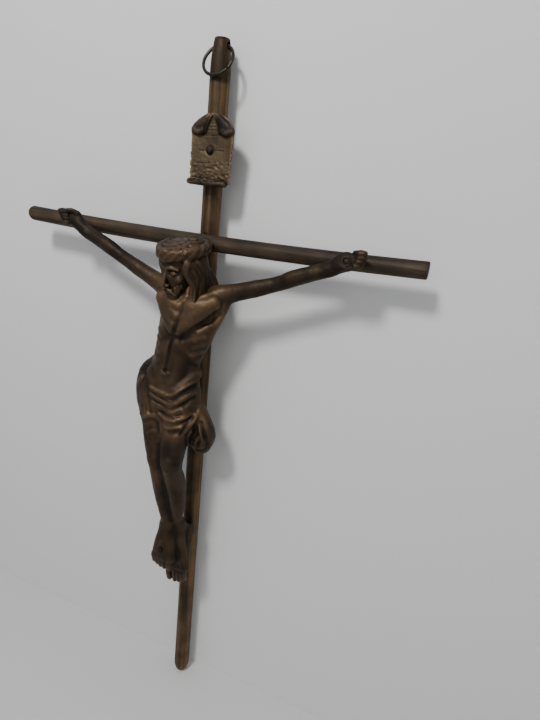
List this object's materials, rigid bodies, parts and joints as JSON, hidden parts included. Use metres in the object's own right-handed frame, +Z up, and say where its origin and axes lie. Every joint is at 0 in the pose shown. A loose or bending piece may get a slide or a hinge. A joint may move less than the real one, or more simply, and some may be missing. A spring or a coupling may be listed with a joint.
{
  "type": "hanging crucifix",
  "caption": "Wall crucifix of two crossed round bronze bars with a cast corpus, a plain name board, nails and a swinging wire hanging ring.",
  "frame": {"origin": "middle of the hanging ring's cross hole, on the axis of the upright bar", "axes": "+Z up the upright bar, -Y to the front (the side of the corpus), +X to the viewer's right along the cross bar"},
  "size_m": [0.18, 0.0325, 0.31],
  "materials": {
    "bar_bronze": "aged bronze, dark brown with rubbed brown streaks",
    "cast_bronze": "dark brown cast patina, rubbed golden on the high places",
    "board_bronze": "dark olive brown sheet with a rough lower edge",
    "nail_bronze": "blackened",
    "ring_wire": "blackened wire with a dull sheen"
  },
  "bodies": {
    "cross": {"upright_bar": "bar_bronze", "cross_bar": "bar_bronze", "crossing_pin": "nail_bronze", "name_board": "board_bronze", "board_rivet": "nail_bronze", "corpus": "cast_bronze", "right_hand_nail": "nail_bronze", "left_hand_nail": "nail_bronze", "feet_nail": "nail_bronze"},
    "ring": {"hanging_ring": "ring_wire"}
  },
  "joints": [
    {"name": "ring_swing", "type": "hinge", "parent": "cross", "child": "ring", "pos_m": [0, 0, 0], "axis": [-1, 0, 0], "range_deg": [0, 310]}
  ]
}
